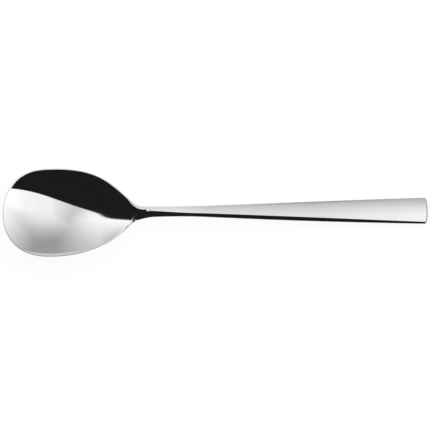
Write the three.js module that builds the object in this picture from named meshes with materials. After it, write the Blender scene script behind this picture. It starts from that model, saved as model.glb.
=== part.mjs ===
// Salad serving spoon, forged in one piece from stainless steel and polished all over.
// It lies bowl up on a table. Millimetres, +Z up, with the table at z = 0 under the middle of the spoon.
// x runs from the tip of the bowl to the end of the handle, and the plane y = 0 is its plane of symmetry.
// Stations are distances along the spoon from the tip.
import * as THREE from 'three';
import { mergeVertices } from 'three/addons/utils/BufferGeometryUtils.js';

// Outline, seen from above
const LENGTH = 250;
const BOWL_WIDTH = 54.9;
const BOWL_WIDEST_AT = 29.1;
const BOWL_LENGTH = 79.7; // to where the sides of the bowl would meet if there were no neck
const TIP_POWER = 2.6; // 2 is an ellipse, more is a squarer tip
const SHOULDER_POINT = 0.53; // 0 is a blunt shoulder, 1 a pointed one
const NECK_WIDTH = 5.8;
const NECK_FILLET = 5.5; // how far the bowl's sides sweep on into the neck
const HANDLE_ROOT_WIDTH = 4.5; // where the handle's sides would run to at the neck
const HANDLE_ROOT_AT = 20.3; // behind the end of the bowl
const HANDLE_END_WIDTH = 16.2;
const HANDLE_SIDE_BOW = 0.6; // how far each side bows out from a straight taper
const HANDLE_ROOT_FILLET = 0.5;
const END_BULGE = 1.9; // of the rounded end
const END_POWER = 2.5;

// Side profile, along the middle of the upper face
const TIP_HEIGHT = 10;
const TIP_STEEPENING = 0.15; // 0 is an even curve up to the tip, 1 one that turns up late
const FLOOR_AT = 29;
const FLOOR_ROUND = 20.8; // how gently the floor turns up into the ramp to the neck
const RAMP_SLOPE = 0.271;
const NECK_TOP_AT = 9.2; // behind the end of the bowl
const NECK_HEIGHT = 12.7;
const NECK_BEND = 0.3; // rounding of the crest between ramp and handle
const HANDLE_FALL = 0.8; // 1 is a straight fall to the end, less is a steeper start
const END_HEIGHT = 3.2;

// Sections
const BOWL_DEPTH = 10.5; // from the floor to the rim beside it
const DISH_ROUND = 36; // how soon the dish straightens towards the rim
const BOWL_WALL = 1.8; // at the floor
const RIM_THICKNESS = 1.5;
const RIM_ROUND = 0.75; // width of the rounded edge of the rim
const NECK_EDGE = 4.4; // thickness at the sides of the neck
const END_EDGE = 2.2;
const NECK_FLANK = 0.527; // share of the width that the bevels take where the handle starts
const END_FLANK = 0.09;
const NECK_ROUND = 0.33; // what the bevels take more in the neck, which makes it round
const FLANK_PITCH = 1.1; // fall of the bevel over its width
const FLANK_POWER = 1.04; // 1 is a flat bevel, 2 a round edge
const NECK_CROWN = 0.03; // fall of the crowned upper face where it meets the bevel
const END_CROWN = 0.3;
const BELLY = 0.35; // how far the underside of the handle bulges

// Where the bowl turns into the handle, from the end of the bowl
const DISH_FADE = [-22.7, 18.3];
const RIM_SHARPENING = [-20.9, -5.9];
const WALL_GROWTH = [-28, 8];
const EDGE_GROWTH = [-5.9, 4.8];
const CROWN_GROWTH = [-4.8, 19.5];
const NECK_ROUND_FADE = [3.2, 32.3];

// Mesh
const COLUMNS = 88; // round half of the outline, from the tip to the end
const FACE_ROWS = 7; // from the middle line to the edge
const EDGE_ROWS = 3; // over the rounded or bevelled edge
const STEP = 1e-4; // for the direction of the outline

const mix = THREE.MathUtils.lerp;

function growth(station, [from, to]) {
  return THREE.MathUtils.smoothstep(station - BOWL_LENGTH, from, to);
}

// The greater of two values, with the corner between them rounded.
function softMax(a, b, rounding) {
  return (a + b + Math.hypot(a - b, rounding)) / 2;
}

// 0 up to the top of the neck, 1 at the end of the handle.
function alongHandle(station) {
  const from = BOWL_LENGTH + NECK_TOP_AT;
  return Math.max(0, (station - from) / (LENGTH - from));
}

function stemHalfWidth(station) {
  const from = BOWL_LENGTH + HANDLE_ROOT_AT;
  const t = (station - from) / (LENGTH - from);
  const side = mix(HANDLE_ROOT_WIDTH, HANDLE_END_WIDTH, t) / 2 + 4 * HANDLE_SIDE_BOW * t * (1 - t);
  return softMax(NECK_WIDTH / 2, side, HANDLE_ROOT_FILLET);
}

// Behind the widest part of the bowl, without the rounding of the end.
function bodyHalfWidth(station) {
  const behind = Math.max(0, (station - BOWL_WIDEST_AT) / (BOWL_LENGTH - BOWL_WIDEST_AT));
  const narrowing = SHOULDER_POINT * behind ** 2 + (1 - SHOULDER_POINT) * behind ** 4;
  const fillet = NECK_FILLET * Math.min(behind, 1) ** 2;
  return softMax((BOWL_WIDTH / 2) * (1 - narrowing), stemHalfWidth(station), fillet);
}

function halfWidth(station) {
  if (station < BOWL_WIDEST_AT) {
    const ahead = 1 - station / BOWL_WIDEST_AT;
    return (BOWL_WIDTH / 2) * Math.sqrt(1 - ahead ** TIP_POWER);
  }
  const intoEnd = Math.max(0, 1 - (LENGTH - station) / END_BULGE);
  return bodyHalfWidth(station) * (1 - intoEnd ** END_POWER) ** (1 / END_POWER);
}

// Width of the bevelled flank of the handle, which takes up most of the round neck.
function handleFlank(station) {
  const share = mix(NECK_FLANK, END_FLANK, alongHandle(station));
  return bodyHalfWidth(station) * (share + NECK_ROUND * (1 - growth(station, NECK_ROUND_FADE)));
}

// Width of the rounded edge of the rim, which grows into the flank of the handle.
function flank(station) {
  return mix(RIM_ROUND, handleFlank(station), growth(station, EDGE_GROWTH));
}

// Thickness at the sides of the handle.
function handleEdge(station) {
  return mix(NECK_EDGE, END_EDGE, alongHandle(station));
}

function edgeThickness(station) {
  return mix(RIM_THICKNESS, handleEdge(station), growth(station, EDGE_GROWTH));
}

function faceHalfWidth(station) {
  return bodyHalfWidth(station) - handleFlank(station);
}

function crownSlope(station) {
  return mix(NECK_CROWN, END_CROWN, alongHandle(station));
}

// Thickness along the middle line, which starts to grow towards the neck in the ramp of the bowl.
function middleThickness(station) {
  const bowl = mix(RIM_THICKNESS, BOWL_WALL, THREE.MathUtils.smoothstep(station, 0, FLOOR_AT));
  const crown = (crownSlope(station) * faceHalfWidth(station)) / 2;
  return mix(bowl, handleEdge(station) + crown + BELLY, growth(station, WALL_GROWTH));
}

// Height of the upper face along the middle of the spoon.
function topLine(station) {
  if (station < FLOOR_AT) {
    const ahead = 1 - station / FLOOR_AT;
    return mix(BOWL_WALL, TIP_HEIGHT, mix(ahead ** 2, ahead ** 4, TIP_STEEPENING));
  }
  const ramp = BOWL_WALL + RAMP_SLOPE * (Math.hypot(station - FLOOR_AT, FLOOR_ROUND) - FLOOR_ROUND);
  const handle = mix(NECK_HEIGHT, END_HEIGHT, alongHandle(station) ** HANDLE_FALL);
  return -softMax(-ramp, -handle, NECK_BEND);
}

// Upper face: a dish in the bowl, which flattens in the neck and becomes the crown of the handle.
function topHeight(station, y) {
  const rise = Math.hypot(y, DISH_ROUND) - DISH_ROUND;
  const rimRise = Math.hypot(BOWL_WIDTH / 2, DISH_ROUND) - DISH_ROUND;
  const dish = BOWL_DEPTH * (rise / rimRise) * (1 - growth(station, DISH_FADE));
  const face = faceHalfWidth(station);
  const crown = (crownSlope(station) / (2 * face)) * growth(station, CROWN_GROWTH);
  return topLine(station) + dish - crown * Math.min(Math.abs(y), face) ** 2;
}

// Upper and lower height at a place. over is 0 on the face, and goes from 0 to 1 across the edge.
function heights(station, y, over) {
  const top = topHeight(station, y);
  const drop = mix(RIM_ROUND, FLANK_PITCH * handleFlank(station), growth(station, EDGE_GROWTH));
  const across = Math.min(1, Math.abs(y) / Math.max(halfWidth(station), STEP));
  const thickness = mix(middleThickness(station), edgeThickness(station), across ** 2);
  const power = mix(2, FLANK_POWER, growth(station, RIM_SHARPENING));
  const upper = top - drop * (1 - (1 - over ** power) ** (1 / power));
  const lower = top - drop - (thickness - drop) * Math.sqrt(1 - over ** 2);
  return { upper, lower: Math.max(0, lower) }; // the end of the handle lies flat on the table
}

// The outline at a share of the way from tip to end, with its stations bunched at the two round ends.
function outline(share) {
  const station = (LENGTH * (1 - Math.cos(Math.PI * share))) / 2;
  return new THREE.Vector2(station, halfWidth(station));
}

function outward(share) {
  const before = outline(Math.max(0, share - STEP));
  const after = outline(Math.min(1, share + STEP));
  return new THREE.Vector2(before.y - after.y, after.x - before.x).normalize();
}

// Where the rib that ends on the outline starts on the middle line. The ribs fan out round both ends.
function ribStart(station) {
  const tipReach = 0.75 * BOWL_LENGTH;
  const nearTip = Math.max(0, 1 - station / tipReach);
  const nearEnd = Math.max(0, 1 - (LENGTH - station) / HANDLE_END_WIDTH);
  const tipShift = 0.8 * BOWL_WIDEST_AT * nearTip ** 2;
  const endShift = 0.4 * HANDLE_END_WIDTH * nearEnd ** 2;
  return new THREE.Vector2(station + tipShift - endShift, 0);
}

// One rib: the points of the upper and lower surface from the middle line to the outline.
function rib(column) {
  const share = column / COLUMNS;
  const rim = outline(share);
  const side = outward(share);
  const start = ribStart(rim.x);
  const edge = rim.clone().addScaledVector(side, -flank(rim.x));
  const onMiddle = column === 0 || column === COLUMNS;
  const points = { upper: [], lower: [] };
  for (let row = 0; row <= FACE_ROWS + EDGE_ROWS; row++) {
    const turn = Math.max(0, row - FACE_ROWS) / EDGE_ROWS;
    const over = Math.sin((turn * Math.PI) / 2);
    const place = start.clone().lerp(edge, Math.min(1, row / FACE_ROWS));
    place.addScaledVector(side, over * flank(rim.x));
    const y = onMiddle ? 0 : place.y;
    const height = heights(place.x, y, over);
    points.upper.push(new THREE.Vector3(place.x - LENGTH / 2, y, height.upper));
    points.lower.push(new THREE.Vector3(place.x - LENGTH / 2, y, height.lower));
  }
  return points;
}

function spoonGeometry() {
  const ribs = Array.from({ length: COLUMNS + 1 }, (_, column) => rib(column));
  const corners = [];
  const mirror = new THREE.Vector3(1, -1, 1);
  const triangle = (a, b, c) => {
    corners.push(a, b, c);
    corners.push(a.clone().multiply(mirror), c.clone().multiply(mirror), b.clone().multiply(mirror));
  };
  for (let column = 0; column < COLUMNS; column++) {
    const tipHalf = column < COLUMNS / 2; // the diagonals lean away from the ends of the middle line
    for (let row = 0; row < FACE_ROWS + EDGE_ROWS; row++) {
      for (const surface of ['upper', 'lower']) {
        const here = ribs[column][surface];
        const next = ribs[column + 1][surface];
        const quad = [here[row], next[row], next[row + 1], here[row + 1]];
        if (surface === 'lower') quad.reverse();
        const [a, b, c, d] = quad;
        if (tipHalf === (surface === 'upper')) {
          triangle(a, b, c);
          triangle(a, c, d);
        } else {
          triangle(a, b, d);
          triangle(b, c, d);
        }
      }
    }
  }
  const geometry = mergeVertices(new THREE.BufferGeometry().setFromPoints(corners));
  geometry.computeVertexNormals();
  return geometry;
}

const polishedSteel = new THREE.MeshStandardMaterial({ color: 0xc9c9c7, roughness: 0.08, metalness: 1 });

const spoon = new THREE.Mesh(spoonGeometry(), polishedSteel);
spoon.name = 'spoon';

const group = new THREE.Group();
group.add(spoon);

export default group;
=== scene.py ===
"""Looks of the salad serving spoon: polished steel on a pale table, under a soft studio light.

Metres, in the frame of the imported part: x runs from the tip of the bowl to the end of the handle,
+Z is up, and the table is at z = 0. Stations are distances along the spoon from the tip.
"""

import logging
import math
from collections.abc import Mapping
from dataclasses import dataclass, field, fields
from enum import Enum
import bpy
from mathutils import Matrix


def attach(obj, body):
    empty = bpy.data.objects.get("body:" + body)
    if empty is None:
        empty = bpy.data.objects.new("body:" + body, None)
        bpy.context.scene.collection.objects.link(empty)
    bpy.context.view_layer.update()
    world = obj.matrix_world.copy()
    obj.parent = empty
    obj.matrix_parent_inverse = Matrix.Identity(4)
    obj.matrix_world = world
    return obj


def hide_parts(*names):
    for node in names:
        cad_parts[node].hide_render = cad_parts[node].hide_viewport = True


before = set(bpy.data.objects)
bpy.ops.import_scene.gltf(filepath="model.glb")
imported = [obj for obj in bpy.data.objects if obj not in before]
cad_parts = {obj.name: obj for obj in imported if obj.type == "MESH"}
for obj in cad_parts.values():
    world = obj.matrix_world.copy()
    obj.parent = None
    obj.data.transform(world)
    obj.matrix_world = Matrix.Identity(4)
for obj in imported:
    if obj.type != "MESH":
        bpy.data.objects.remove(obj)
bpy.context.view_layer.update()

from types import SimpleNamespace
from typing import Any

import bpy
from mathutils import Matrix, Vector

SPOON_NODE = "spoon"

log = logging.getLogger("salad_spoon")


class Maths(Enum):
    """Operations of the Math node."""

    ADD = "ADD"
    SUBTRACT = "SUBTRACT"
    MULTIPLY = "MULTIPLY"
    DIVIDE = "DIVIDE"
    POWER = "POWER"
    ABSOLUTE = "ABSOLUTE"
    LESS_THAN = "LESS_THAN"
    GREATER_THAN = "GREATER_THAN"
    SQUARE_ROOT = "SQRT"
    MAXIMUM = "MAXIMUM"
    MINIMUM = "MINIMUM"
    SINE = "SINE"
    COSINE = "COSINE"


class Value:
    """An output of a node. Arithmetic on it adds Math nodes to its tree."""

    def __init__(self, sketch: "NodeSketch", socket: bpy.types.NodeSocket) -> None:
        """Keeps the socket and the tree it is in.

        Args:
            sketch: The tree that new Math nodes go into.
            socket: The output that this stands for.
        """
        self.sketch = sketch
        self.socket = socket

    def maths(self, operation: Maths, *operands: "Value | float") -> "Value":
        """Adds one Math node.

        Args:
            operation: The node's operation.
            *operands: What goes into its sockets, in order.

        Returns:
            The node's result.
        """
        chosen = {"operation": operation.value}
        return self.sketch.node("ShaderNodeMath", chosen, dict(enumerate(operands)))

    def __add__(self, other: "Value | float") -> "Value":
        """self + other."""
        return self.maths(Maths.ADD, self, other)

    __radd__ = __add__

    def __sub__(self, other: "Value | float") -> "Value":
        """self - other."""
        return self.maths(Maths.SUBTRACT, self, other)

    def __rsub__(self, other: float) -> "Value":
        """other - self."""
        return self.maths(Maths.SUBTRACT, other, self)

    def __mul__(self, other: "Value | float") -> "Value":
        """self * other."""
        return self.maths(Maths.MULTIPLY, self, other)

    __rmul__ = __mul__

    def __truediv__(self, other: "Value | float") -> "Value":
        """self / other."""
        return self.maths(Maths.DIVIDE, self, other)

    def __rtruediv__(self, other: float) -> "Value":
        """other / self."""
        return self.maths(Maths.DIVIDE, other, self)

    def __pow__(self, other: "Value | float") -> "Value":
        """self to the power of other."""
        return self.maths(Maths.POWER, self, other)

    def __neg__(self) -> "Value":
        """-self."""
        return self * -1.0

    def __abs__(self) -> "Value":
        """Size without its sign."""
        return self.maths(Maths.ABSOLUTE, self)

    def __lt__(self, other: "Value | float") -> "Value":
        """1 where self is the smaller, and 0 elsewhere."""
        return self.maths(Maths.LESS_THAN, self, other)

    def __gt__(self, other: "Value | float") -> "Value":
        """1 where self is the greater, and 0 elsewhere."""
        return self.maths(Maths.GREATER_THAN, self, other)

    def root(self) -> "Value":
        """Square root."""
        return self.maths(Maths.SQUARE_ROOT, self)

    def at_least(self, other: "Value | float") -> "Value":
        """The greater of the two."""
        return self.maths(Maths.MAXIMUM, self, other)

    def at_most(self, other: "Value | float") -> "Value":
        """The smaller of the two."""
        return self.maths(Maths.MINIMUM, self, other)

    def growth(self, start: "Value | float", end: "Value | float") -> "Value":
        """Rises smoothly from 0 at start to 1 at end.

        Args:
            start: Where it leaves 0.
            end: Where it reaches 1.

        Returns:
            The share of the way.
        """
        bounds = {"Value": self, "From Min": start, "From Max": end}
        return self.sketch.node("ShaderNodeMapRange", {"interpolation_type": "SMOOTHSTEP"}, bounds)


def blend(low: Value | float, high: Value | float, share: Value | float) -> Value | float:
    """Goes from low to high in a straight line.

    Args:
        low: The value at a share of 0.
        high: The value at a share of 1.
        share: How far along.

    Returns:
        The value there.
    """
    return low + (high - low) * share


def hypotenuse(a: Value, b: Value | float) -> Value:
    """Length of the long side over two short sides."""
    return (a * a + b * b).root()


def soft_max(a: Value, b: Value, rounding: Value) -> Value:
    """The greater of two values, with the corner between them rounded.

    Args:
        a: One value.
        b: The other.
        rounding: How far the corner is rounded.

    Returns:
        The rounded maximum.
    """
    return (a + b + hypotenuse(a - b, rounding)) * 0.5


class NodeSketch:
    """A node tree that is filled by calls."""

    def __init__(self, tree: bpy.types.NodeTree) -> None:
        """Empties the tree.

        Args:
            tree: The tree to fill.
        """
        self.tree = tree
        tree.nodes.clear()

    def node(
        self,
        kind: str,
        settings: Mapping[str, Any] | None = None,
        sockets: Mapping[int | str, Any] | None = None,
        output: int | str = 0,
    ) -> Value | None:
        """Adds a node.

        Args:
            kind: The node's type.
            settings: Its properties, which are set first.
            sockets: Values or links of its inputs, by name or place.
            output: Which output is wanted.

        Returns:
            That output, or None for a node without outputs.
        """
        made = self.tree.nodes.new(kind)
        for name, setting in (settings or {}).items():
            setattr(made, name, setting)
        for key, given in (sockets or {}).items():
            if isinstance(given, Value):
                self.tree.links.new(given.socket, made.inputs[key])
            else:
                made.inputs[key].default_value = given
        return Value(self, made.outputs[output]) if len(made.outputs) else None

    def parts(self, vector: Value) -> tuple[Value, Value, Value]:
        """Splits a vector into its three numbers."""
        split = self.node("ShaderNodeSeparateXYZ", None, {"Vector": vector})
        return tuple(Value(self, socket) for socket in split.socket.node.outputs)

    def vector(self, x: Value, y: Value, z: Value) -> Value:
        """Joins three numbers into a vector."""
        return self.node("ShaderNodeCombineXYZ", None, {"X": x, "Y": y, "Z": z})


@dataclass(frozen=True)
class SpoonSizes:
    """Sizes of the spoon, in metres unless said otherwise."""

    length: float = 0.250
    bowl_width: float = 0.0549
    bowl_widest_at: float = 0.0291
    bowl_length: float = 0.0797
    tip_power: float = 2.6
    shoulder_point: float = 0.53
    neck_width: float = 0.0058
    neck_fillet: float = 0.0055
    handle_root_width: float = 0.0045
    handle_root_at: float = 0.100
    handle_end_width: float = 0.0162
    handle_side_bow: float = 0.0006
    handle_root_fillet: float = 0.0005
    end_bulge: float = 0.0019
    end_power: float = 2.5
    tip_height: float = 0.010
    tip_steepening: float = 0.15
    floor_at: float = 0.029
    floor_round: float = 0.0208
    ramp_slope: float = 0.271
    neck_top_at: float = 0.0889
    neck_height: float = 0.0127
    end_height: float = 0.0032
    handle_fall: float = 0.8
    neck_bend: float = 0.0003
    bowl_depth: float = 0.0105
    dish_round: float = 0.036
    bowl_wall: float = 0.0018
    rim_thickness: float = 0.0015
    rim_round: float = 0.00075
    rim_sharpening: float = 0.015
    neck_edge: float = 0.0044
    end_edge: float = 0.0022
    neck_flank: float = 0.527
    end_flank: float = 0.09
    neck_round: float = 0.33
    neck_round_from: float = 0.0829
    neck_round_to: float = 0.112
    flank_pitch: float = 1.1
    flank_power: float = 1.04
    neck_crown: float = 0.03
    end_crown: float = 0.3
    belly: float = 0.00035
    dish_fade_from: float = 0.057
    dish_fade_to: float = 0.098
    wall_growth_from: float = 0.0517
    wall_growth_to: float = 0.0877
    edge_growth_from: float = 0.0738
    edge_growth_to: float = 0.0845
    crown_growth_from: float = 0.0749
    crown_growth_to: float = 0.0992


class SpoonRule:
    """The rule of the spoon's surface, as fields of a node tree."""

    TIP_FAN = 0.8  # how far the ribs fan out round the tip, as a share of bowl_widest_at
    TIP_REACH = 0.75  # where that fan ends, as a share of bowl_length
    END_FAN = 0.4  # how far they fan out round the end, as a share of handle_end_width
    FACE_SHARE = 0.62  # share of the rows that lie on a face rather than on an edge
    BUNCHING = 1.7  # how much the rows bunch at the crease between face and edge; 1 is not at all
    STEP = 5e-4  # of the share along the outline, for its direction
    HAIR = 1e-7  # a width that is as good as none

    def __init__(self, sketch: NodeSketch, sizes: SimpleNamespace) -> None:
        """Keeps the tree and its size inputs.

        Args:
            sketch: The tree that the rule is written in.
            sizes: One Value for each field of SpoonSizes.
        """
        self.sketch = sketch
        self.sizes = sizes

    def along_handle(self, station: Value) -> Value:
        """0 up to the top of the neck, 1 at the end of the handle."""
        s = self.sizes
        return ((station - s.neck_top_at) / (s.length - s.neck_top_at)).at_least(0.0)

    def edge_growth(self, station: Value) -> Value:
        """How far the rim of the bowl has become the flank of the handle."""
        return station.growth(self.sizes.edge_growth_from, self.sizes.edge_growth_to)

    def stem_half_width(self, station: Value) -> Value:
        """Half the width of the neck and handle."""
        s = self.sizes
        t = (station - s.handle_root_at) / (s.length - s.handle_root_at)
        bow = 4.0 * s.handle_side_bow * t * (1.0 - t)
        side = blend(s.handle_root_width, s.handle_end_width, t) * 0.5 + bow
        return soft_max(s.neck_width * 0.5, side, s.handle_root_fillet)

    def body_half_width(self, station: Value) -> Value:
        """Half the width behind the widest part of the bowl, without the rounding of the end."""
        s = self.sizes
        behind = ((station - s.bowl_widest_at) / (s.bowl_length - s.bowl_widest_at)).at_least(0.0)
        narrowing = s.shoulder_point * behind**2.0 + (1.0 - s.shoulder_point) * behind**4.0
        fillet = s.neck_fillet * behind.at_most(1.0) ** 2.0
        return soft_max(s.bowl_width * 0.5 * (1.0 - narrowing), self.stem_half_width(station), fillet)

    def half_width(self, station: Value) -> Value:
        """Half the width of the spoon at a station.

        Args:
            station: Distance from the tip.

        Returns:
            The half width, which is 0 at both ends.
        """
        s = self.sizes
        ahead = (1.0 - station / s.bowl_widest_at).at_least(0.0)
        tip = s.bowl_width * 0.5 * (1.0 - ahead**s.tip_power).at_least(0.0).root()
        into_end = (1.0 - (s.length - station) / s.end_bulge).at_least(0.0)
        rounding = (1.0 - into_end**s.end_power).at_least(0.0) ** (1.0 / s.end_power)
        return blend(self.body_half_width(station) * rounding, tip, station < s.bowl_widest_at)

    def handle_flank(self, station: Value) -> Value:
        """Width of the bevelled flank of the handle, which takes up most of the round neck."""
        s = self.sizes
        bevel = blend(s.neck_flank, s.end_flank, self.along_handle(station))
        rounding = s.neck_round * (1.0 - station.growth(s.neck_round_from, s.neck_round_to))
        return self.body_half_width(station) * (bevel + rounding)

    def flank(self, station: Value) -> Value:
        """Width of the rounded edge of the rim, which grows into the flank of the handle."""
        return blend(self.sizes.rim_round, self.handle_flank(station), self.edge_growth(station))

    def handle_edge(self, station: Value) -> Value:
        """Thickness at the sides of the handle."""
        return blend(self.sizes.neck_edge, self.sizes.end_edge, self.along_handle(station))

    def edge_thickness(self, station: Value) -> Value:
        """Thickness at the edge of a section."""
        return blend(self.sizes.rim_thickness, self.handle_edge(station), self.edge_growth(station))

    def face_half_width(self, station: Value) -> Value:
        """Half the width of the handle's upper face, between its flanks."""
        return self.body_half_width(station) - self.handle_flank(station)

    def crown_slope(self, station: Value) -> Value:
        """Fall of the crowned upper face of the handle where it meets the flank."""
        return blend(self.sizes.neck_crown, self.sizes.end_crown, self.along_handle(station))

    def middle_thickness(self, station: Value) -> Value:
        """Thickness along the middle line, which starts to grow towards the neck in the bowl's ramp."""
        s = self.sizes
        bowl = blend(s.rim_thickness, s.bowl_wall, station.growth(0.0, s.floor_at))
        crown = self.crown_slope(station) * self.face_half_width(station) * 0.5
        handle = self.handle_edge(station) + crown + s.belly
        return blend(bowl, handle, station.growth(s.wall_growth_from, s.wall_growth_to))

    def top_line(self, station: Value) -> Value:
        """Height of the upper face along the middle of the spoon.

        Args:
            station: Distance from the tip.

        Returns:
            The height above the table.
        """
        s = self.sizes
        ahead = 1.0 - station / s.floor_at
        tip = blend(s.bowl_wall, s.tip_height, blend(ahead**2.0, ahead**4.0, s.tip_steepening))
        turning_up = hypotenuse(station - s.floor_at, s.floor_round) - s.floor_round
        ramp = s.bowl_wall + s.ramp_slope * turning_up
        handle = blend(s.neck_height, s.end_height, self.along_handle(station) ** s.handle_fall)
        return blend(-soft_max(-ramp, -handle, s.neck_bend), tip, station < s.floor_at)

    def top_height(self, station: Value, y: Value) -> Value:
        """Height of the upper face: a dish in the bowl, which becomes the crown of the handle.

        Args:
            station: Distance from the tip.
            y: Distance from the plane of symmetry.

        Returns:
            The height above the table.
        """
        s = self.sizes
        rise = hypotenuse(y, s.dish_round) - s.dish_round
        rim_rise = hypotenuse(s.bowl_width * 0.5, s.dish_round) - s.dish_round
        fade = station.growth(s.dish_fade_from, s.dish_fade_to)
        dish = s.bowl_depth * rise / rim_rise * (1.0 - fade)
        crowning = station.growth(s.crown_growth_from, s.crown_growth_to)
        face = self.face_half_width(station)
        crown = self.crown_slope(station) / (2.0 * face) * crowning
        return self.top_line(station) + dish - crown * y.at_most(face) ** 2.0

    def height(self, station: Value, y: Value, over: Value, upper: Value) -> Value:
        """Height of the surface at a place.

        Args:
            station: Distance from the tip.
            y: Distance from the plane of symmetry.
            over: 0 on a face, and from 0 to 1 across the edge.
            upper: 1 on the upper surface, 0 on the lower.

        Returns:
            The height above the table.
        """
        s = self.sizes
        top = self.top_height(station, y)
        bevel = s.flank_pitch * self.handle_flank(station)
        drop = blend(s.rim_round, bevel, self.edge_growth(station))
        across = (y / self.half_width(station).at_least(self.HAIR)).at_most(1.0)
        middle, edge = self.middle_thickness(station), self.edge_thickness(station)
        below = blend(middle, edge, across * across) - drop
        sharpening = station.growth(s.edge_growth_from - s.rim_sharpening, s.edge_growth_from)
        power = blend(2.0, s.flank_power, sharpening)
        rounded = (1.0 - over**power).at_least(0.0) ** (1.0 / power)
        above = top - drop * (1.0 - rounded)
        under = (top - drop - below * (1.0 - over * over).at_least(0.0).root()).at_least(0.0)
        return blend(under, above, upper)

    def outline(self, share: Value) -> tuple[Value, Value]:
        """The outline, with its stations bunched at the two round ends.

        Args:
            share: 0 at the tip, 1 at the end of the handle.

        Returns:
            The station and the half width.
        """
        turn = share * math.pi
        station = self.sizes.length * (1.0 - turn.maths(Maths.COSINE, turn)) * 0.5
        return station, self.half_width(station)

    def outward(self, share: Value) -> tuple[Value, Value]:
        """Direction out of the outline, square to it.

        Args:
            share: 0 at the tip, 1 at the end of the handle.

        Returns:
            Its part along the spoon and its part across.
        """
        before_x, before_y = self.outline((share - self.STEP).at_least(0.0))
        after_x, after_y = self.outline((share + self.STEP).at_most(1.0))
        along, across = before_y - after_y, after_x - before_x
        size = hypotenuse(along, across)
        return along / size, across / size

    def rib_start(self, station: Value) -> Value:
        """Station on the middle line from which the rib to a place on the outline starts."""
        s = self.sizes
        near_tip = (1.0 - station / (s.bowl_length * self.TIP_REACH)).at_least(0.0)
        near_end = (1.0 - (s.length - station) / s.handle_end_width).at_least(0.0)
        tip_shift = self.TIP_FAN * s.bowl_widest_at * near_tip**2.0
        end_shift = self.END_FAN * s.handle_end_width * near_end**2.0
        return station + tip_shift - end_shift

    def place(self, share: Value, round_section: Value) -> Value:
        """Where a vertex of one half of the spoon goes.

        Args:
            share: 0 at the tip, 1 at the end of the handle.
            round_section: 0 on the upper middle line, 0.5 on the outline, 1 on the lower middle line.

        Returns:
            Its position.
        """
        reach = 1.0 - abs(2.0 * round_section - 1.0)
        on_face = 1.0 - (1.0 - reach / self.FACE_SHARE).at_least(0.0) ** self.BUNCHING
        turn = ((reach - self.FACE_SHARE) / (1.0 - self.FACE_SHARE)).at_least(0.0)
        over = turn.maths(Maths.SINE, turn * (math.pi / 2)) ** self.BUNCHING
        rim_x, rim_y = self.outline(share)
        side_x, side_y = self.outward(share)
        flank = self.flank(rim_x)
        inset = flank * (1.0 - over)
        edge_x, edge_y = rim_x - flank * side_x, rim_y - flank * side_y
        start = self.rib_start(rim_x)
        station = blend(blend(start, edge_x, on_face), rim_x - inset * side_x, turn > self.HAIR)
        y = blend(edge_y * on_face, rim_y - inset * side_y, turn > self.HAIR).at_least(0.0)
        upper = round_section < 0.5
        height = self.height(station, y, over, upper)
        return self.sketch.vector(station - self.sizes.length * 0.5, y, height)


@dataclass(frozen=True)
class SteelFinish:
    """Mirror polish of stainless steel, with the faint lines and haze that buffing leaves, and painted
    shade: a darker tone along the handle past the neck that stands in for the light falling off there.
    """

    colour: tuple[float, float, float] = (0.66, 0.66, 0.66)
    hazy_colour: tuple[float, float, float] = (0.62, 0.62, 0.62)
    # painted shade: the handle is darkened from just past the neck, fading back near its end, where the
    # light falls off
    painted_shade_colour: tuple[float, float, float] = (0.555, 0.555, 0.555)
    painted_shade_start: tuple[float, float] = (-0.030, 0.0)
    painted_shade_end: tuple[float, float] = (0.045, 0.120)
    clear_roughness: float = 0.025
    hazy_roughness: float = 0.06
    haze_scale: float = 55.0
    haze_detail: float = 4.0
    haze_grain: float = 0.55
    haze_range: tuple[float, float] = (0.35, 0.75)
    line_scale: tuple[float, float, float] = (60.0, 1500.0, 1500.0)
    line_detail: float = 3.0
    line_depth: float = 4e-7

    def material(self) -> bpy.types.Material:
        """Makes the material.

        Returns:
            The polished steel.
        """
        made = bpy.data.materials.new("polished_steel")
        made.use_nodes = True
        sketch = NodeSketch(made.node_tree)
        place = sketch.node("ShaderNodeTexCoord", output="Object")
        cloud = {"Scale": self.haze_scale, "Detail": self.haze_detail, "Roughness": self.haze_grain}
        clouds = sketch.node("ShaderNodeTexNoise", None, {"Vector": place, **cloud})
        haze = clouds.growth(*self.haze_range)
        stretched = sketch.node("ShaderNodeMapping", None, {"Vector": place, "Scale": self.line_scale})
        streak = {"Vector": stretched, "Scale": 1.0, "Detail": self.line_detail}
        lines = sketch.node("ShaderNodeTexNoise", None, streak)
        tones = {"Factor": haze, "A": (*self.colour, 1.0), "B": (*self.hazy_colour, 1.0)}
        # painted shade: a darker tone along the middle of the handle, standing in for the light falling
        # off past the neck
        along, _, _ = sketch.parts(place)
        painted_shade_mask = along.growth(*self.painted_shade_start) * (1.0 - along.growth(*self.painted_shade_end))
        clean = self._mix_colour(sketch, tones)
        painted_shade_mix = {"Factor": painted_shade_mask, "A": clean, "B": (*self.painted_shade_colour, 1.0)}
        tone = self._mix_colour(sketch, painted_shade_mix)
        roughness = blend(self.clear_roughness, self.hazy_roughness, haze * lines)
        relief = {"Strength": 1.0, "Distance": self.line_depth, "Height": lines}
        polish = sketch.node("ShaderNodeBump", None, relief)
        steel = sketch.node(
            "ShaderNodeBsdfPrincipled",
            None,
            {"Base Color": tone, "Metallic": 1.0, "Roughness": roughness, "Normal": polish},
        )
        sketch.node("ShaderNodeOutputMaterial", None, {"Surface": steel})
        return made

    @staticmethod
    def _mix_colour(sketch: NodeSketch, sockets: Mapping[str, Any]) -> Value:
        """Mixes two colours.

        Args:
            sketch: The tree to add to.
            sockets: The factor and the colours A and B.

        Returns:
            The mixed colour.
        """
        first_factor, first_colour, second_colour, result = 0, 6, 7, 2
        places = {"Factor": first_factor, "A": first_colour, "B": second_colour}
        given = {places[name]: value for name, value in sockets.items()}
        return sketch.node("ShaderNodeMix", {"data_type": "RGBA"}, given, result)


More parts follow.
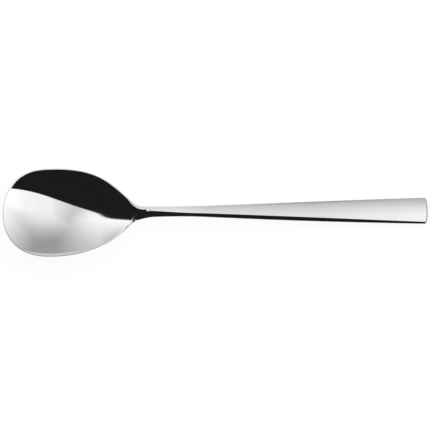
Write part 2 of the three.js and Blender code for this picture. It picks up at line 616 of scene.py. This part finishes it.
@dataclass
class Spoon:
    """The spoon: bowl, neck and handle in one forging."""

    sizes: SpoonSizes = field(default_factory=SpoonSizes)
    finish: SteelFinish = field(default_factory=SteelFinish)
    columns: int = 361
    rows: int = 97
    weld: float = 1e-6

    def build(self) -> bpy.types.Object:
        """Makes the spoon's mesh and ties it to the frame.

        Returns:
            The finished piece.
        """
        piece = bpy.data.objects.new("steel_spoon", bpy.data.meshes.new("steel_spoon"))
        bpy.context.scene.collection.objects.link(piece)
        steel = self.finish.material()
        tree, inputs = self._tree(steel)
        modifier = piece.modifiers.new("spoon_rule", "NODES")
        modifier.node_group = tree
        for name, identifier in inputs.items():
            modifier[identifier] = getattr(self.sizes, name)
        shaped = piece.evaluated_get(bpy.context.evaluated_depsgraph_get())
        mesh = bpy.data.meshes.new_from_object(shaped)
        piece.modifiers.remove(modifier)
        piece.data = mesh
        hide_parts(SPOON_NODE)
        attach(piece, "root")
        return piece

    def _tree(self, steel: bpy.types.Material) -> tuple[bpy.types.NodeTree, dict[str, str]]:
        """Writes the spoon's rule as a node tree.

        Args:
            steel: The material that the tree sets.

        Returns:
            The tree, and the identifier of each size's input.
        """
        tree = bpy.data.node_groups.new("spoon_rule", "GeometryNodeTree")
        sketch = NodeSketch(tree)
        tree.interface.new_socket("Geometry", in_out="OUTPUT", socket_type="NodeSocketGeometry")
        identifiers = {}
        for size in fields(self.sizes):
            made = tree.interface.new_socket(size.name, in_out="INPUT", socket_type="NodeSocketFloat")
            identifiers[size.name] = made.identifier
        given = sketch.node("NodeGroupInput").socket.node
        inputs = {name: Value(sketch, given.outputs[name]) for name in identifiers}
        rule = SpoonRule(sketch, SimpleNamespace(**inputs))
        sheet = {"Size X": 1.0, "Size Y": 1.0, "Vertices X": self.columns, "Vertices Y": self.rows}
        grid = sketch.node("GeometryNodeMeshGrid", None, sheet)
        across, along, _ = sketch.parts(sketch.node("GeometryNodeInputPosition"))
        where = rule.place(across + 0.5, along + 0.5)
        left = sketch.node("GeometryNodeSetPosition", None, {"Geometry": grid, "Position": where})
        mirror = {"Geometry": left, "Scale": (1.0, -1.0, 1.0)}
        mirrored = sketch.node("GeometryNodeTransform", None, mirror)
        right = sketch.node("GeometryNodeFlipFaces", None, {"Mesh": mirrored})
        both = sketch.node("GeometryNodeJoinGeometry", None, {"Geometry": left})
        tree.links.new(right.socket, both.socket.node.inputs["Geometry"])
        seam = {"Geometry": both, "Distance": self.weld}
        closed = sketch.node("GeometryNodeMergeByDistance", None, seam)
        smooth = sketch.node("GeometryNodeSetShadeSmooth", None, {"Geometry": closed})
        real = sketch.node("GeometryNodeRealizeInstances", None, {"Geometry": smooth})
        dressed = sketch.node("GeometryNodeSetMaterial", None, {"Geometry": real, "Material": steel})
        sketch.node("NodeGroupOutput", None, {"Geometry": dressed})
        return tree, identifiers


@dataclass(frozen=True)
class TableFinish:
    """Matt white of the table, lifted to the white of the background where it is looked at; where it is
    mirrored, painted light: a glow that fades from beside the bowl to none beside the handle's end, and a
    painted pool of light on a patch behind the neck.
    """

    colour: tuple[float, float, float, float] = (0.86, 0.86, 0.86, 1.0)
    seen_lift: float = 0.88
    # painted light and shade: where the steel mirrors the table, the table glows more beside the bowl and
    # not at all beside the handle's end
    painted_mirror_glows: tuple[float, float] = (0.3, 0.0)  # beside the bowl, and beside the handle's end
    painted_glow_range: tuple[float, float] = (-0.03, 0.08)  # along the spoon, where the one becomes the other
    # painted light: a pool of extra glow on the table behind the neck, seen only in reflections
    painted_patch_lift: float = 0.65  # what is added on the patch behind the neck
    painted_patch_start: tuple[float, float] = (-0.065, -0.045)  # along the spoon
    painted_patch_end: tuple[float, float] = (-0.03, 0.08)
    painted_patch_behind: tuple[float, float] = (0.0, 0.012)  # across it
    white: float = 1.06

    def material(self) -> bpy.types.Material:
        """Makes the material.

        Returns:
            The table's white.
        """
        made = bpy.data.materials.new("table_white")
        made.use_nodes = True
        sketch = NodeSketch(made.node_tree)
        matt = sketch.node("ShaderNodeBsdfDiffuse", None, {"Color": self.colour})
        lifted = sketch.node("ShaderNodeEmission", None, {"Strength": self.white})
        seen = sketch.node("ShaderNodeLightPath", output="Is Camera Ray")
        path = seen.socket.node.outputs
        glossy, through = (Value(sketch, path[f"Is {kind} Ray"]) for kind in ("Glossy", "Transmission"))
        mirrored = glossy.at_least(through)
        along, across, _ = sketch.parts(sketch.node("ShaderNodeTexCoord", output="Object"))
        # painted light: the patch behind the neck glows brighter where the steel mirrors it
        painted_light_patch = along.growth(*self.painted_patch_start) * (1.0 - along.growth(*self.painted_patch_end))
        painted_light_patch = painted_light_patch * across.growth(*self.painted_patch_behind) * self.painted_patch_lift
        # painted light: the table's glow in reflections, fading along the spoon, plus the painted patch
        # behind the neck
        painted_mirror_light = blend(*self.painted_mirror_glows, along.growth(*self.painted_glow_range)) + painted_light_patch
        lift = (seen * self.seen_lift).at_least(mirrored * painted_mirror_light)
        surface = sketch.node("ShaderNodeMixShader", None, {0: lift, 1: matt, 2: lifted})
        sketch.node("ShaderNodeOutputMaterial", None, {"Surface": surface})
        return made


@dataclass
class Table:
    """The plain pale table that the spoon lies on."""

    half_side: float = 6.0
    gap: float = 5e-5
    finish: TableFinish = field(default_factory=TableFinish)

    def build(self) -> bpy.types.Object:
        """Makes the table top.

        Returns:
            The table top.
        """
        r = self.half_side
        mesh = bpy.data.meshes.new("table_top")
        corners = [(x, y, -self.gap) for x, y in ((-r, -r), (r, -r), (r, r), (-r, r))]
        mesh.from_pydata(corners, [], [(0, 1, 2, 3)])
        mesh.materials.append(self.finish.material())
        top = bpy.data.objects.new("table_top", mesh)
        bpy.context.scene.collection.objects.link(top)
        return top


@dataclass
class Studio:
    """The room that the steel mirrors: light overhead, a dark front and left, and a white sweep all round.

    A direction is x, y and z of the mirrored ray, and a level of 1 is white. A low light at the front
    right, and a soft corner beside it, light the edges that face that way.
    """

    zenith_level: float = 1.35
    back_power: float = 1.7
    back_level: float = 0.46
    right_start: float = 0.25
    right_lift: float = 0.35
    right_fall: float = 0.3
    fall_range: tuple[float, float] = (0.0, 0.3)
    left_cap: tuple[float, float, float] = (1.345, 1.5, -0.25)
    left_wall: tuple[float, float, float] = (0.43, 1.0, 4.5)
    left_wall_share: float = 0.75
    left_wall_range: tuple[float, float] = (0.0, 0.5)
    right_wall: tuple[float, float, float] = (0.11, 1.85, -0.38)
    rounding: float = 0.08
    oval_x: float = 0.381
    oval_y: float = 0.3455
    oval_length: float = 0.783
    oval_breadth: float = 0.78
    dark_edge: float = 0.006
    dark_level: float = 0.0168
    left_edge: tuple[float, float] = (-0.55, -0.61)
    left_levels: tuple[float, float] = (0.03, 0.85)
    left_range: tuple[float, float] = (0.0, 0.4)
    right_edge: tuple[float, float] = (0.62, 0.70)
    right_range: tuple[float, float] = (-0.55, -0.65)
    right_heights: tuple[float, float] = (0.32, 0.22)
    right_level: float = 0.85
    corner_edge: tuple[float, float] = (0.69, 0.82)
    corner_range: tuple[float, float] = (-0.52, -0.30)
    corner_level: float = 0.9
    sweep_level: float = 1.0
    sweep_from: float = 0.045
    sweep_to: float = 0.08
    sweep_to_behind: float = 0.09
    behind_range: tuple[float, float] = (0.0, 0.6)

    def build(self) -> None:
        """Makes the world."""
        world = bpy.data.worlds.new("studio")
        bpy.context.scene.world = world
        world.use_nodes = True
        sketch = NodeSketch(world.node_tree)
        x, y, z = sketch.parts(sketch.node("ShaderNodeTexCoord", output="Generated"))
        room = blend(self._lit(x, y), self.dark_level, self._dark(x, y))
        left_level = blend(*self.left_levels, y.growth(*self.left_range))
        room = blend(room, left_level, x.growth(*self.left_edge))
        right = x.growth(*self.right_edge) * y.growth(*self.right_range)
        right = right * z.growth(*self.right_heights)
        room = blend(room, self.right_level, right)
        corner = x.growth(*self.corner_edge) * y.growth(*self.corner_range)
        room = room.at_least(corner * self.corner_level)
        sweep_to = blend(self.sweep_to, self.sweep_to_behind, y.growth(*self.behind_range))
        level = blend(self.sweep_level, room, z.growth(self.sweep_from, sweep_to))
        white = {"Color": (1.0, 1.0, 1.0, 1.0), "Strength": level}
        shine = sketch.node("ShaderNodeBackground", None, white)
        sketch.node("ShaderNodeOutputWorld", None, {"Surface": shine})

    def _lit(self, x: Value, y: Value) -> Value:
        """Level of the light: brightest overhead, less towards the back, more again towards both sides.

        Args:
            x: Direction along the spoon.
            y: Direction across it.

        Returns:
            The level.
        """
        back, left, right = y.at_least(0.0), (-x).at_least(0.0), x.at_least(0.0)
        tilt = blend(self.right_lift, -self.right_fall, y.growth(*self.fall_range))
        beside = (x - self.right_start).at_least(0.0)
        overhead = self.zenith_level - back**self.back_power + beside * tilt
        cap, cap_along, cap_across = self.left_cap
        ceiling = cap + cap_along * x + cap_across * back
        middle = overhead.at_least(self.back_level).at_most(ceiling)
        level, slope, curve = self.left_wall
        nearness = blend(self.left_wall_share, 1.0, y.growth(*self.left_wall_range))
        left_wall = (level + left * (slope + curve * left)) * nearness
        level, slope, curve = self.right_wall
        right_wall = level + right * (slope + curve * right)
        return soft_max(soft_max(middle, left_wall, self.rounding), right_wall, self.rounding)

    def _dark(self, x: Value, y: Value) -> Value:
        """Where the dark front and left begin, beyond an oval that the back is open to.

        Args:
            x: Direction along the spoon.
            y: Direction across it.

        Returns:
            0 in the oval and 1 outside it.
        """
        ahead = (y - self.oval_y).at_most(0.0)
        beyond = hypotenuse((x - self.oval_x) / self.oval_length, ahead / self.oval_breadth)
        return beyond.growth(1.0 - self.dark_edge, 1.0 + self.dark_edge)


@dataclass
class PhotoCamera:
    """A long lens high above the near side of the spoon."""

    elevation: float = math.radians(70.0)
    roll: float = math.radians(1.23)
    distance: float = 6.0
    view_width: float = 0.2531
    target: tuple[float, float, float] = (-0.0002, 0.0, 0.0016)

    def build(self) -> bpy.types.Object:
        """Makes the camera and sets it as the scene's.

        Returns:
            The camera.
        """
        lens = bpy.data.cameras.new("photo_camera")
        lens.lens = lens.sensor_width * self.distance / self.view_width
        camera = bpy.data.objects.new("photo_camera", lens)
        bpy.context.scene.collection.objects.link(camera)
        away = Vector((0.0, -math.cos(self.elevation), math.sin(self.elevation)))
        aim = (-away).to_track_quat("-Z", "Y").to_matrix().to_4x4()
        spot = Matrix.Translation(Vector(self.target) + away * self.distance)
        camera.matrix_world = spot @ aim @ Matrix.Rotation(-self.roll, 4, "Z")
        bpy.context.scene.camera = camera
        return camera


def main() -> None:
    """Builds the spoon, the table, the room and the camera."""
    logging.basicConfig(level=logging.INFO, format="%(name)s: %(message)s")
    bpy.context.scene.view_settings.view_transform = "Standard"
    piece = Spoon().build()
    log.info("%s has %d faces", piece.name, len(piece.data.polygons))
    log.info("%s is the stage", Table().build().name)
    Studio().build()
    log.info("%s looks at the spoon", PhotoCamera().build().name)


if __name__ == "__main__":
    main()
